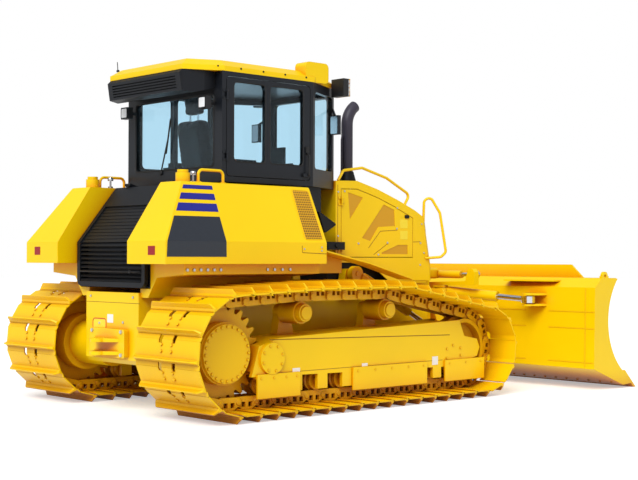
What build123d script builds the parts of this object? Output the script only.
"""A wide-track bulldozer with a power-angle-tilt blade.

X points forward, Y to the machine's left and Z up, in millimetres. The origin is on the ground, under the
middle of the machine's whole length and width. Stations along the machine are measured from the sprocket.
"""

import math
import os
from build123d import *

# Crawler: two chains of steel shoes, each round a sprocket, an idler and two carrier rollers
TRACK_GAUGE = 2140.0
SHOE_WIDTH = 860.0
SHOE_COUNT = 44
LINK_PITCH = 192.0
SPROCKET_TEETH = 27
LINK_OUT = 66.0
LINK_IN = 44.0
PLATE_T = 12.0
GROUSER_H = 57.5
GROUSER_T = 16.0
RAIL_OFFSET = 85.0
RAIL_W = 44.0
WHEELBASE = 3050.0
IDLER_RIM_R = 285.0
IDLER_FLANGE_R = 318.0
CARRIER_STATIONS = (878.0, 1930.0)
CARRIER_R = 99.0
CARRIER_Z = 866.0
ROLLER_COUNT = 8
ROLLER_FIRST = 462.0
ROLLER_TO_IDLER = 488.0
ROLLER_SPACING = (WHEELBASE - ROLLER_FIRST - ROLLER_TO_IDLER) / (ROLLER_COUNT - 1)
ROLLER_R = 88.0
ROLLER_SHAFT_R = 34.0
RUNNING_GAP = 0.3
FINAL_DRIVE_IN_Y = 860.0
FINAL_DRIVE_OUT_Y = 1215.0
FINAL_DRIVE_R = 262.0
COVER_R = 250.0
COVER_T = 25.0
SPROCKET_TOOTH_W = 88.0
FRAME_IN_Y = 895.0
FRAME_OUT_Y = 1255.0
FRAME_PLATE = 36.0
PIVOT_STATION = 467.0
PIVOT_Z = 493.0
PIVOT_CAP_R = 138.0
PIVOT_SHAFT_R = 90.0
EQUALISER_STATION = 1520.0
EQUALISER_Z = 480.0
EQUALISER_R = 60.0
AXLE_TUBE_R = 205.0

# Reach of the machine ahead of the sprocket, to the cutting edge
BLADE_REACH = 4990.0

# Blade and its hinge points
BLADE_HALF_WIDTH = 1875.0
BLADE_BACK = 4245.0
BLADE_TOP_Z = 1146.0
KINGPIN_STATION = 3960.0
KINGPIN_R = 42.0
TILT_Z = 480.0
TRUNNION_STATION = 1750.0
TRUNNION_Z = 520.0
TRUNNION_R = 52.0
ARM_Y = 550.0
ARM_W = 104.0

# Pins of the cylinders
PIN_R = 24.0
PIN_GAP = 0.4
EYE_R = 76.0
OPEN_BORE_R = 55.0
EYE_HALF_W = 34.0
LIFT_PIN_STATION = 2150.0
LIFT_PIN_Z = 1190.0
LIFT_BRACKET_OUT_Y = 492.0
LIFT_EYE_STATION = 3300.0
LIFT_EYE_Z = 600.0
LIFT_SLOT_DROP = 50.0
ANGLE_PIN_STATION = 3840.0
ANGLE_PIN_Y = 200.0
ANGLE_PIN_Z = 990.0
ANGLE_EYE_STATION = 4100.0
ANGLE_EYE_Y = 1150.0
ANGLE_EYE_Z = 915.0
ANGLE_DRIFT_Z = 10.0
TILT_PIN_Y = -65.0
TILT_EYE_Y = -607.0
TILT_CYL_Z = 1170.0
TILT_CYL_STATION = 3900.0
CROSS_REAR = 3600.0
CROSS_FRONT = 3740.0
TILT_PIN_R = 60.0
TILT_PIN_LENGTH = 115.0
SMALL_PIN_R = 20.0
SMALL_EYE_HALF_W = 20.0
KING_LUG_LOW_Z = 300.0
KING_LUG_HIGH_Z = 660.0
KING_LUG_T = 40.0
LUG_T = 24.0
HINGE_R = 9.0
HINGE_PIN_R = 5.0
HINGE_OFFSET = 14.0
HINGE_LEAF = 38.0
HINGE_LEAF_T = 6.0
HINGE_GAP = 3.0
HINGE_H = 40.0
HINGE_PLAY = 2.0
LUG_R = 50.0
BLADE_CROWN_Z = 1283.0
CROWN_LOW_Y = 1500.0
CROWN_TOP_Y = 1342.0
GUSSET_Z = 1105.0
EYE_STATION = 4440.0
EYE_Z = 1168.0
EYE_BORE_R = 16.0

# Hull, hood, housings and cab
HULL_HALF_W = 409.0
HULL_BOTTOM_Z = 415.0
HULL_TOP_Z = 1040.0
HULL_REAR = -306.0
HULL_FRONT = 3355.0
HULL_FRONT_TOP_Z = 1110.0
HULL_WALL = 28.0
BAY_REAR = 1560.0
ENGINE_STATION = 2420.0
ENGINE_SIZE = (860.0, 640.0, 1150.0)
BAY_FRONT = 3300.0
BAY_FLOOR_Z = 445.0
DRAWBAR_Z = 570.0
DRAWBAR_PIN_STATION = -446.0
DRAWBAR_PAD_T = 52.0
DRAWBAR_PAD_HALF_W = 270.0
DRAWBAR_PAD_HALF_H = 125.0
DRAWBAR_CHEEK_RISE = 56.0
DRAWBAR_CHEEK_T = 32.0
DRAWBAR_BORE_R = 26.0
HOOD_BOTTOM_Z = 1115.0
HOUSING_WING_REAR = -280.0
HOOD_STEP_Z = 1300.0
COVER_GAP = 6.0
COVER_REAR = 2030.0
COVER_HINGES_Z = (1450.0, 1900.0)
EXHAUST_STATION = 2420.0
EXHAUST_Y = -150.0
EXHAUST_FOOT_Z = 2060.0
EXHAUST_R = 59.0
EXHAUST_COLLAR_Z = 2092.0
FENDER_IN_Y = 612.0
FENDER_W = 200.0
HOOD_HALF_W = 472.0
HOOD_WALL = 8.0
HOUSING_IN_Y = 550.0
HOUSING_OUT_Y = 1095.0
HOUSING_TOP_OUT_Y = 850.0
HOUSING_BOTTOM_Z = 1292.0
HOUSING_KINK_Z = 1482.0
WING_OUT_Y = 1020.0
WING_LOW_Z = 1204.0
HOUSING_TOP_Z = 1990.0
HOUSING_REAR = -522.0
HOUSING_TOP_REAR = -183.0
HOUSING_FRONT = 1257.0
GRILLE_HALF_W = 540.0
GRILLE_REAR = -330.0
GRILLE_TOP_STATION = 83.0
GRILLE_BOTTOM_Z = 1085.0
GRILLE_T = 40.0
GRILLE_HINGE_RISE = 20.0
GRILLE_HINGE_Y = 325.0
GRILLE_HINGE_R = 14.0
GRILLE_PIN_R = 8.0
COWL_FLOOR_T = 12.0
CAB_HALF_W = 720.0
CAB_REAR = 350.0
CAB_DOOR_FRONT = 1430.0
CAB_FRONT = 1950.0
CAB_FRONT_HALF_W = 450.0
CAB_SILL_Z = 2012.0
CAB_TOP_Z = 2985.0
CAB_WALL = 50.0
CAB_FLOOR_Z = 1640.0
CAB_FLOOR_T = 40.0
CAB_TUB_FRONT = 1700.0
CAB_TUB_HALF_W = 538.0
DOOR_REAR = 395.0
DOOR_FRONT = 1395.0
DOOR_BOTTOM_Z = 2060.0
DOOR_TOP_Z = 2945.0
DOOR_GAP = 6.0
DOOR_HINGES_Z = (2240.0, 2780.0)
DOOR_GLASS_BOTTOM_Z = 2195.0
DOOR_GLASS_TOP_Z = 2900.0
DOOR_PANES = ((480.0, 850.0), (900.0, 1310.0))
GLASS_T = 6.0
GLASS_TOP_Z = 2900.0
FRONT_GLASS_BOTTOM_Z = 2180.0
FRONT_GLASS_HALF_W = 395.0
REAR_GLASS_BOTTOM_Z = 2150.0
REAR_GLASS_TOP_Z = 2790.0
REAR_GLASS_HALF_W = 600.0
SEAT_STATION = 880.0
MIRROR_STATION = 1840.0
MIRROR_Y = 590.0
AIR_UNIT_BOTTOM_Z = 2800.0
ROOF_T = 105.0
ROOF_BOX_STATION = 1490.0
ROOF_BOX_LENGTH = 290.0
ROOF_BOX_H = 190.0
ROOF_BOX_IN_Y = 560.0
ROOF_BOX_W = 150.0
ROOF_REAR = 34.0
FRONT_LAMP_STATION = 1900.0
FRONT_LAMP_Y = 590.0
FRONT_LAMP_Z = 2985.0
ROOF_REAR_HALF_W = 560.0

# Values worked out from those above
SHOE_OUT = LINK_OUT + PLATE_T + GROUSER_H
SPROCKET_PITCH_R = LINK_PITCH / (2 * math.sin(2 * math.pi / SPROCKET_TEETH))
SPROCKET_Z = SHOE_OUT + SPROCKET_PITCH_R
IDLER_PITCH_R = IDLER_RIM_R + RUNNING_GAP + LINK_IN
IDLER_Z = SHOE_OUT + IDLER_PITCH_R
ROLLER_Z = SHOE_OUT + LINK_IN + ROLLER_R + RUNNING_GAP
TRACK_REAR_REACH = SPROCKET_PITCH_R + SHOE_OUT
SPROCKET_X = -(BLADE_REACH - TRACK_REAR_REACH) / 2
TRACK_Y = TRACK_GAUGE / 2
COWL_FLOOR_Z = GRILLE_BOTTOM_Z + COWL_FLOOR_T
SIDES = {"right": -1, "left": 1}


def at(station):
    """The x coordinate of a station ahead of the sprocket."""
    return SPROCKET_X + station


def save(builder, name):
    """Label a finished piece and write it to a file of the same name."""
    builder.part.label = name
    export_step(builder.part, f"parts/{name}.step")


def facing(side, y):
    """A plane along the machine, seen from outside, at distance y from the middle on one side."""
    return Plane.XZ.offset(-side * y)


def between(start, end):
    """A plane at start whose normal points to end, and the distance between them."""
    direction = Vector(*end) - Vector(*start)
    return Plane(origin=start, z_dir=direction), direction.length


def side_hinge(side, station, face_y, z, moving):
    """Half of an upright hinge on a side face: the panel's middle knuckle, or the post's pin and ends."""
    axis_y = side * (face_y + HINGE_OFFSET)
    direction = 1 if moving else -1
    leaf_shift = direction * (HINGE_GAP + HINGE_LEAF / 2)
    neck_shift = direction * (HINGE_GAP + HINGE_R / 2)
    end_h = HINGE_H / 2
    knuckles = [(z - HINGE_H / 2, HINGE_H)]
    if not moving:
        knuckles = [(z - HINGE_H / 2 - HINGE_PLAY - end_h, end_h), (z + HINGE_H / 2 + HINGE_PLAY, end_h)]
    with BuildPart() as half:
        for bottom, height in knuckles:
            with BuildSketch(Plane.XY.offset(bottom)):
                with Locations((at(station), axis_y)):
                    Circle(HINGE_R)
                with Locations((at(station) + leaf_shift, side * (face_y + HINGE_LEAF_T / 2))):
                    Rectangle(HINGE_LEAF, HINGE_LEAF_T)
                with Locations((at(station) + neck_shift, side * (face_y + HINGE_OFFSET / 2))):
                    Rectangle(HINGE_R, HINGE_OFFSET)
                if moving:
                    with Locations((at(station), axis_y)):
                        Circle(HINGE_PIN_R + PIN_GAP, mode=Mode.SUBTRACT)
            extrude(amount=height)
        if not moving:
            with BuildSketch(Plane.XY.offset(knuckles[0][0])):
                with Locations((at(station), axis_y)):
                    Circle(HINGE_PIN_R)
            extrude(amount=2 * end_h + HINGE_H + 2 * HINGE_PLAY)
    return half.part


def belt_wheels(offset):
    """Circles that the chain wraps at this offset outside its pitch line: (x, z, radius)."""
    carriers = [
        (at(s), CARRIER_Z, CARRIER_R + RUNNING_GAP + LINK_IN + offset) for s in reversed(CARRIER_STATIONS)
    ]
    sprocket = (at(0), SPROCKET_Z, SPROCKET_PITCH_R + offset)
    idler = (at(WHEELBASE), IDLER_Z, IDLER_PITCH_R + offset)
    return [sprocket, idler, *carriers]


def belt_spans(offset):
    """For each wheel of the belt: its circle, and the angles where the belt meets and leaves it."""
    wheels = belt_wheels(offset)
    normals = []
    for (xa, za, ra), (xb, zb, rb) in zip(wheels, wheels[1:] + wheels[:1]):
        length = math.hypot(xb - xa, zb - za)
        heading = math.atan2(zb - za, xb - xa)
        normals.append(heading - math.acos((ra - rb) / length))
    spans = []
    for i, wheel in enumerate(wheels):
        start = normals[i - 1]
        end = normals[i]
        while end < start:
            end += 2 * math.pi
        while end > start + 2 * math.pi:
            end -= 2 * math.pi
        spans.append((wheel, start, end))
    return spans


def on_circle(wheel, angle):
    """The point of a circle (x, z, radius) at an angle."""
    return (wheel[0] + wheel[2] * math.cos(angle), wheel[1] + wheel[2] * math.sin(angle))


def draw_belt(offset):
    """The closed outline of the belt at this offset, as tangent lines and arcs in the current BuildLine."""
    spans = belt_spans(offset)
    for i, (wheel, start, end) in enumerate(spans):
        ThreePointArc(
            on_circle(wheel, start), on_circle(wheel, (start + end) / 2), on_circle(wheel, end)
        )
        following, angle, _ = spans[(i + 1) % len(spans)]
        Line(on_circle(wheel, end), on_circle(following, angle))


def belt_stations(count, offset):
    """Evenly spaced places along the pitch line, moved outward by offset: (x, z, outward angle)."""
    pieces = []
    spans = belt_spans(0)
    for i, (wheel, start, end) in enumerate(spans):
        pieces.append(("arc", wheel, start, end, wheel[2] * (end - start)))
        following, angle, _ = spans[(i + 1) % len(spans)]
        a = on_circle(wheel, end)
        b = on_circle(following, angle)
        pieces.append(("line", a, b, end, math.dist(a, b)))
    total = sum(piece[4] for piece in pieces)
    places = []
    for k in range(count):
        left = total * (k + 0.5) / count
        for kind, first, second, third, length in pieces:
            if left > length:
                left -= length
                continue
            if kind == "arc":
                angle = second + left / first[2]
                x, z = on_circle((first[0], first[1], first[2] + offset), angle)
            else:
                t = left / length
                angle = third
                x = first[0] + t * (second[0] - first[0]) + offset * math.cos(angle)
                z = first[1] + t * (second[1] - first[1]) + offset * math.sin(angle)
            places.append((x, z, angle))
            break
    return places


def build_track(side):
    """One chain: the shoe plates with a grouser on each, and the two rails of links that carry them."""
    with BuildPart() as track:
        with BuildSketch(facing(side, TRACK_Y)):
            with BuildLine():
                draw_belt(LINK_OUT + PLATE_T)
            make_face()
            with BuildLine():
                draw_belt(LINK_OUT)
            make_face(mode=Mode.SUBTRACT)
            height = PLATE_T + GROUSER_H
            for x, z, angle in belt_stations(SHOE_COUNT, LINK_OUT + height / 2):
                with Locations(Location((x, z, 0), (0, 0, 1), math.degrees(angle))):
                    Rectangle(height, GROUSER_T)
        extrude(amount=SHOE_WIDTH / 2, both=True)
        for rail in (-RAIL_OFFSET, RAIL_OFFSET):
            with BuildSketch(facing(side, TRACK_Y + rail)):
                with BuildLine():
                    draw_belt(LINK_OUT)
                make_face()
                with BuildLine():
                    draw_belt(-LINK_IN)
                make_face(mode=Mode.SUBTRACT)
            extrude(amount=RAIL_W / 2, both=True)
    return track


def build_sprocket(side):
    """The toothed ring between the rails, with the round final-drive housing and its cover."""
    root_r = SPROCKET_PITCH_R - 46
    tip_r = SPROCKET_PITCH_R + 14
    with BuildPart() as sprocket:
        with BuildSketch(facing(side, TRACK_Y)):
            with Locations((at(0), SPROCKET_Z)):
                Circle(root_r)
                with PolarLocations(0, SPROCKET_TEETH):
                    with BuildLine(mode=Mode.PRIVATE) as tooth:
                        Polyline(
                            (root_r - 10, -34), (tip_r, -13), (tip_r, 13), (root_r - 10, 34), close=True
                        )
                    add(make_face(tooth.edges(), mode=Mode.PRIVATE))
        extrude(amount=SPROCKET_TOOTH_W / 2, both=True)
        with BuildSketch(facing(side, FINAL_DRIVE_IN_Y)):
            with Locations((at(0), SPROCKET_Z)):
                Circle(FINAL_DRIVE_R)
        extrude(amount=FINAL_DRIVE_OUT_Y - FINAL_DRIVE_IN_Y, dir=(0, side, 0))
        with BuildSketch(facing(side, FINAL_DRIVE_OUT_Y)):
            with Locations((at(0), SPROCKET_Z)):
                Circle(COVER_R)
        extrude(amount=COVER_T, dir=(0, side, 0), taper=8)
    return sprocket



def build_idler(side):
    """The front wheel: two rims that the rails run on, a flange between them, and its shaft."""
    rim_w = RAIL_OFFSET + RAIL_W / 2
    flange_w = RAIL_OFFSET - RAIL_W / 2 - 8
    hub_r = 96.0
    with BuildPart() as idler:
        with BuildSketch(Plane.XY.offset(IDLER_Z)) as section:
            with BuildLine():
                Polyline(
                    (at(WHEELBASE), side * (TRACK_Y - rim_w)),
                    (at(WHEELBASE) + hub_r, side * (TRACK_Y - rim_w)),
                    (at(WHEELBASE) + hub_r + 20, side * (TRACK_Y - 30)),
                    (at(WHEELBASE) + IDLER_RIM_R - 50, side * (TRACK_Y - 30)),
                    (at(WHEELBASE) + IDLER_RIM_R - 40, side * (TRACK_Y - rim_w)),
                    (at(WHEELBASE) + IDLER_RIM_R, side * (TRACK_Y - rim_w)),
                    (at(WHEELBASE) + IDLER_RIM_R, side * (TRACK_Y - flange_w)),
                    (at(WHEELBASE) + IDLER_FLANGE_R, side * (TRACK_Y - flange_w + 14)),
                    (at(WHEELBASE) + IDLER_FLANGE_R, side * (TRACK_Y + flange_w - 14)),
                    (at(WHEELBASE) + IDLER_RIM_R, side * (TRACK_Y + flange_w)),
                    (at(WHEELBASE) + IDLER_RIM_R, side * (TRACK_Y + rim_w)),
                    (at(WHEELBASE) + IDLER_RIM_R - 40, side * (TRACK_Y + rim_w)),
                    (at(WHEELBASE) + IDLER_RIM_R - 50, side * (TRACK_Y + 30)),
                    (at(WHEELBASE) + hub_r + 20, side * (TRACK_Y + 30)),
                    (at(WHEELBASE) + hub_r, side * (TRACK_Y + rim_w)),
                    (at(WHEELBASE), side * (TRACK_Y + rim_w)),
                    close=True,
                )
            make_face()
        revolve(axis=Axis((at(WHEELBASE), 0, IDLER_Z), (0, 1, 0)))
        with BuildSketch(facing(side, FRAME_IN_Y + FRAME_PLATE)):
            with Locations((at(WHEELBASE), IDLER_Z)):
                Circle(48)
        extrude(amount=FRAME_OUT_Y - FRAME_IN_Y - 2 * FRAME_PLATE, dir=(0, side, 0))
    return idler


def build_rollers(side):
    """Bottom rollers between the frame's side plates, and two carrier rollers on brackets above it."""
    flange_r = ROLLER_R + 16
    rim_in = RAIL_OFFSET - RAIL_W / 2
    rim_out = RAIL_OFFSET + RAIL_W / 2
    with BuildPart() as rollers:
        for i in range(ROLLER_COUNT):
            x = at(ROLLER_FIRST + i * ROLLER_SPACING)
            with BuildSketch(Plane.XY.offset(ROLLER_Z)):
                with BuildLine():
                    Polyline(
                        (x, side * (TRACK_Y - rim_out)),
                        (x + ROLLER_R, side * (TRACK_Y - rim_out)),
                        (x + ROLLER_R, side * (TRACK_Y - rim_in)),
                        (x + flange_r, side * (TRACK_Y - rim_in + 6)),
                        (x + flange_r, side * (TRACK_Y - rim_in + 20)),
                        (x + ROLLER_R - 18, side * (TRACK_Y - rim_in + 26)),
                        (x + ROLLER_R - 18, side * (TRACK_Y + rim_in - 26)),
                        (x + flange_r, side * (TRACK_Y + rim_in - 20)),
                        (x + flange_r, side * (TRACK_Y + rim_in - 6)),
                        (x + ROLLER_R, side * (TRACK_Y + rim_in)),
                        (x + ROLLER_R, side * (TRACK_Y + rim_out)),
                        (x, side * (TRACK_Y + rim_out)),
                        close=True,
                    )
                make_face()
            revolve(axis=Axis((x, 0, ROLLER_Z), (0, 1, 0)))
            with BuildSketch(facing(side, FRAME_IN_Y + FRAME_PLATE)):
                with Locations((x, ROLLER_Z)):
                    Circle(ROLLER_SHAFT_R)
            extrude(amount=FRAME_OUT_Y - FRAME_IN_Y - 2 * FRAME_PLATE, dir=(0, side, 0))
        for station in CARRIER_STATIONS:
            carrier_in = TRACK_Y - rim_out
            with BuildSketch(facing(side, carrier_in)):
                with Locations((at(station), CARRIER_Z)):
                    Circle(CARRIER_R)
            extrude(amount=2 * rim_out, dir=(0, side, 0))
            with BuildSketch(facing(side, TRACK_Y + rim_out)):
                with Locations((at(station), CARRIER_Z)):
                    Circle(CARRIER_R - 16)
            extrude(amount=56, dir=(0, side, 0), taper=6)
    return rollers


def build_track_frame(side):
    """The box beam over the rollers, with the idler's bearings, roller guards and carrier brackets."""
    depth = FRAME_OUT_Y - FRAME_IN_Y
    slot_w = depth - 2 * FRAME_PLATE
    middle = (FRAME_IN_Y + FRAME_OUT_Y) / 2
    with BuildPart() as frame:
        with BuildSketch(facing(side, FRAME_IN_Y)):
            with BuildLine():
                Polyline(
                    (at(250), 345), (at(WHEELBASE - 410), 300), (at(WHEELBASE - 150), 330),
                    (at(WHEELBASE + 100), 380), (at(WHEELBASE + 140), 465), (at(WHEELBASE + 100), 550),
                    (at(WHEELBASE - 90), 585), (at(WHEELBASE - 161), 743), (at(558), 662), (at(330), 600),
                    close=True,
                )
            make_face()
            with Locations(*[(at(ROLLER_FIRST + i * ROLLER_SPACING), 315) for i in range(ROLLER_COUNT)]):
                Rectangle(118, 230)
        extrude(amount=depth, dir=(0, side, 0))
        with Locations((at(2000), side * middle, 190)):
            Box(3700, slot_w, 400, mode=Mode.SUBTRACT)
        with Locations((at(WHEELBASE - IDLER_FLANGE_R - 12), side * middle, 465)):
            Box(800, slot_w, 700, align=(Align.MIN, Align.CENTER, Align.CENTER), mode=Mode.SUBTRACT)
        with BuildSketch(facing(side, TRACK_Y - SPROCKET_TOOTH_W / 2 - 12)):
            with Locations((at(0), SPROCKET_Z)):
                Circle(SPROCKET_PITCH_R + 26)
        extrude(amount=SPROCKET_TOOTH_W + 24, dir=(0, side, 0), mode=Mode.SUBTRACT)
        guards = ((300, 783), (1420, 2401), (2658, 3240))
        for start, end in guards:
            with BuildSketch(Plane.XZ.offset(-side * (FRAME_OUT_Y + 2))):
                with Locations((at((start + end) / 2), 262)):
                    Rectangle(end - start, 205)
            extrude(amount=18, dir=(0, side, 0))
            with BuildSketch(Plane.XZ.offset(-side * (FRAME_OUT_Y - FRAME_PLATE))):
                with Locations((at((start + end) / 2), 345)):
                    Rectangle(end - start, 40)
            extrude(amount=FRAME_PLATE + 3, dir=(0, side, 0))
        for station in CARRIER_STATIONS:
            with BuildSketch(facing(side, FRAME_IN_Y - 25)):
                with BuildLine():
                    Polyline(
                        (at(station - 110), 600), (at(station - 60), CARRIER_Z),
                        (at(station + 60), CARRIER_Z), (at(station + 110), 600), close=True,
                    )
                make_face()
                with Locations((at(station), CARRIER_Z)):
                    Circle(70)
            extrude(amount=TRACK_Y - RAIL_OFFSET - RAIL_W / 2 - FRAME_IN_Y + 25, dir=(0, side, 0))
        with BuildSketch(facing(side, FRAME_OUT_Y)):
            with Locations((at(PIVOT_STATION), PIVOT_Z)):
                Circle(PIVOT_CAP_R)
        extrude(amount=24, dir=(0, side, 0), taper=10)
    return frame


def build_cross_shafts():
    """The pivot shaft and the equaliser bar that join both track frames to the hull."""
    with BuildPart() as shafts:
        for side in SIDES.values():
            for station, z, radius in (
                (PIVOT_STATION, PIVOT_Z, PIVOT_SHAFT_R), (EQUALISER_STATION, EQUALISER_Z, EQUALISER_R)
            ):
                with BuildSketch(facing(side, HULL_HALF_W)):
                    with Locations((at(station), z)):
                        Circle(radius)
                extrude(amount=FRAME_IN_Y - HULL_HALF_W, dir=(0, side, 0))
            with BuildSketch(facing(side, HULL_HALF_W)):
                with Locations((at(0), SPROCKET_Z)):
                    Circle(AXLE_TUBE_R)
            extrude(amount=FINAL_DRIVE_IN_Y - HULL_HALF_W, dir=(0, side, 0))
    return shafts


def build_main_frame():
    """The hull: a rear transmission case and two deep side members with an open engine bay between them."""
    with BuildPart() as hull:
        with BuildSketch(Plane.XZ):
            with BuildLine():
                Polyline(
                    (at(HULL_REAR), HULL_BOTTOM_Z + 40), (at(HULL_REAR + 40), HULL_BOTTOM_Z),
                    (at(2700), HULL_BOTTOM_Z), (at(HULL_FRONT), 700), (at(HULL_FRONT), HULL_FRONT_TOP_Z),
                    (at(1500), HULL_FRONT_TOP_Z), (at(1400), HULL_TOP_Z), (at(HULL_REAR), HULL_TOP_Z),
                    close=True,
                )
            make_face()
        extrude(amount=HULL_HALF_W, both=True)
        bay_length = BAY_FRONT - BAY_REAR
        with Locations((at((BAY_FRONT + BAY_REAR) / 2), 0, BAY_FLOOR_Z)):
            Box(
                bay_length, 2 * (HULL_HALF_W - HULL_WALL), 1000,
                align=(Align.CENTER, Align.CENTER, Align.MIN), mode=Mode.SUBTRACT,
            )
        for side in SIDES.values():
            with BuildSketch(Plane.YZ.offset(at(HOUSING_WING_REAR))):
                with BuildLine():
                    Polyline(
                        (side * (HULL_HALF_W - 10), 1000), (side * (HULL_HALF_W - 10), 1078),
                        (side * (HOUSING_IN_Y - 4), 1078), (side * (HOUSING_IN_Y - 4), HOUSING_BOTTOM_Z),
                        (side * WING_OUT_Y, HOUSING_BOTTOM_Z), (side * WING_OUT_Y, WING_LOW_Z),
                        (side * 640, WING_LOW_Z - 30), (side * 510, 1000), close=True,
                    )
                make_face()
            extrude(amount=HOUSING_FRONT - 20 - HOUSING_WING_REAR)
            with BuildSketch(facing(side, HULL_HALF_W - 10)):
                with Locations((at(TRUNNION_STATION), TRUNNION_Z)):
                    Circle(92)
            extrude(amount=ARM_Y - ARM_W / 2 - 2 - HULL_HALF_W + 10, dir=(0, side, 0))
            with BuildSketch(facing(side, HULL_HALF_W - 10)):
                with Locations((at(TRUNNION_STATION), TRUNNION_Z)):
                    Circle(TRUNNION_R)
            extrude(amount=ARM_Y + ARM_W / 2 + 12 - HULL_HALF_W + 10, dir=(0, side, 0))
            with BuildSketch(facing(side, HULL_HALF_W - 10)):
                with BuildLine():
                    Polyline(
                        (at(LIFT_PIN_STATION - 130), 960), (at(LIFT_PIN_STATION - 60), LIFT_PIN_Z + 50),
                        (at(LIFT_PIN_STATION + 60), LIFT_PIN_Z + 50), (at(LIFT_PIN_STATION + 130), 960),
                        close=True,
                    )
                make_face()
            extrude(amount=LIFT_BRACKET_OUT_Y - HULL_HALF_W + 10, dir=(0, side, 0))
            with BuildSketch(facing(side, LIFT_BRACKET_OUT_Y)):
                with Locations((at(LIFT_PIN_STATION), LIFT_PIN_Z)):
                    Circle(PIN_R + 22)
            extrude(amount=ARM_Y - EYE_HALF_W - 3 - LIFT_BRACKET_OUT_Y, dir=(0, side, 0))
            with BuildSketch(facing(side, HULL_HALF_W)):
                with Locations((at(LIFT_PIN_STATION), LIFT_PIN_Z)):
                    Circle(PIN_R)
            extrude(amount=ARM_Y + EYE_HALF_W + 8 - HULL_HALF_W, dir=(0, side, 0))
            for station, foot in ((CAB_REAR + 110, HULL_TOP_Z), (CAB_TUB_FRONT - 190, HULL_FRONT_TOP_Z)):
                post_h = CAB_FLOOR_Z - CAB_FLOOR_T - foot + 10
                with Locations((at(station), side * (HULL_HALF_W - 50), foot - 10)):
                    Box(90, 90, post_h, align=(Align.CENTER, Align.CENTER, Align.MIN))
            ledge_w = HOOD_HALF_W - HOOD_WALL - HULL_HALF_W + 10
            with Locations((at(3010), side * (HULL_HALF_W - 10 + ledge_w / 2), HULL_FRONT_TOP_Z - 20)):
                Box(520, ledge_w, 30, align=(Align.CENTER, Align.CENTER, Align.MIN))
    return hull


def build_drawbar():
    """The tow hitch: a thick pad on the rear plate and two cheeks, each bored for the tow pin."""
    pad_rear = HULL_REAR - DRAWBAR_PAD_T
    with BuildPart() as drawbar:
        for z in (DRAWBAR_Z - DRAWBAR_CHEEK_RISE, DRAWBAR_Z + DRAWBAR_CHEEK_RISE):
            with BuildSketch(Plane.XY.offset(z - DRAWBAR_CHEEK_T / 2)):
                with BuildLine():
                    Polyline(
                        (at(pad_rear), 190), (at(DRAWBAR_PIN_STATION), 74), (at(DRAWBAR_PIN_STATION), -74),
                        (at(pad_rear), -190), close=True,
                    )
                make_face()
                with Locations((at(DRAWBAR_PIN_STATION), 0)):
                    Circle(74)
                    Circle(DRAWBAR_BORE_R, mode=Mode.SUBTRACT)
            extrude(amount=DRAWBAR_CHEEK_T)
        with BuildSketch(Plane.YZ.offset(at(pad_rear))):
            with Locations((0, DRAWBAR_Z + 28)):
                RectangleRounded(2 * DRAWBAR_PAD_HALF_W, 2 * DRAWBAR_PAD_HALF_H, 24)
        extrude(amount=DRAWBAR_PAD_T)
    return drawbar


def build_engine():
    """The engine, as one plain block on the floor of its bay."""
    with BuildPart() as engine:
        with Locations((at(ENGINE_STATION), 0, BAY_FLOOR_Z)):
            Box(*ENGINE_SIZE, align=(Align.CENTER, Align.CENTER, Align.MIN))
    return engine


def build_cooling_pack():
    """The cooling pack behind the rear grille, as one plain block that follows the grille's slope."""
    with BuildPart() as pack:
        with BuildSketch(Plane.XZ):
            with BuildLine():
                Polyline(
                    (at(-250), COWL_FLOOR_Z), (at(-250), 1460), (at(60), 1850), (at(220), 1850),
                    (at(220), COWL_FLOOR_Z),
                    close=True,
                )
            make_face()
        extrude(amount=470, both=True)
    return pack


def grille_profile(inset):
    """Rear outline of the cooling compartment in the XZ plane, moved forward by inset."""
    return [
        (at(GRILLE_REAR + inset), GRILLE_BOTTOM_Z),
        (at(GRILLE_REAR + inset), HOUSING_KINK_Z),
        (at(GRILLE_TOP_STATION + inset * 1.2), HOUSING_TOP_Z),
    ]


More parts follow.
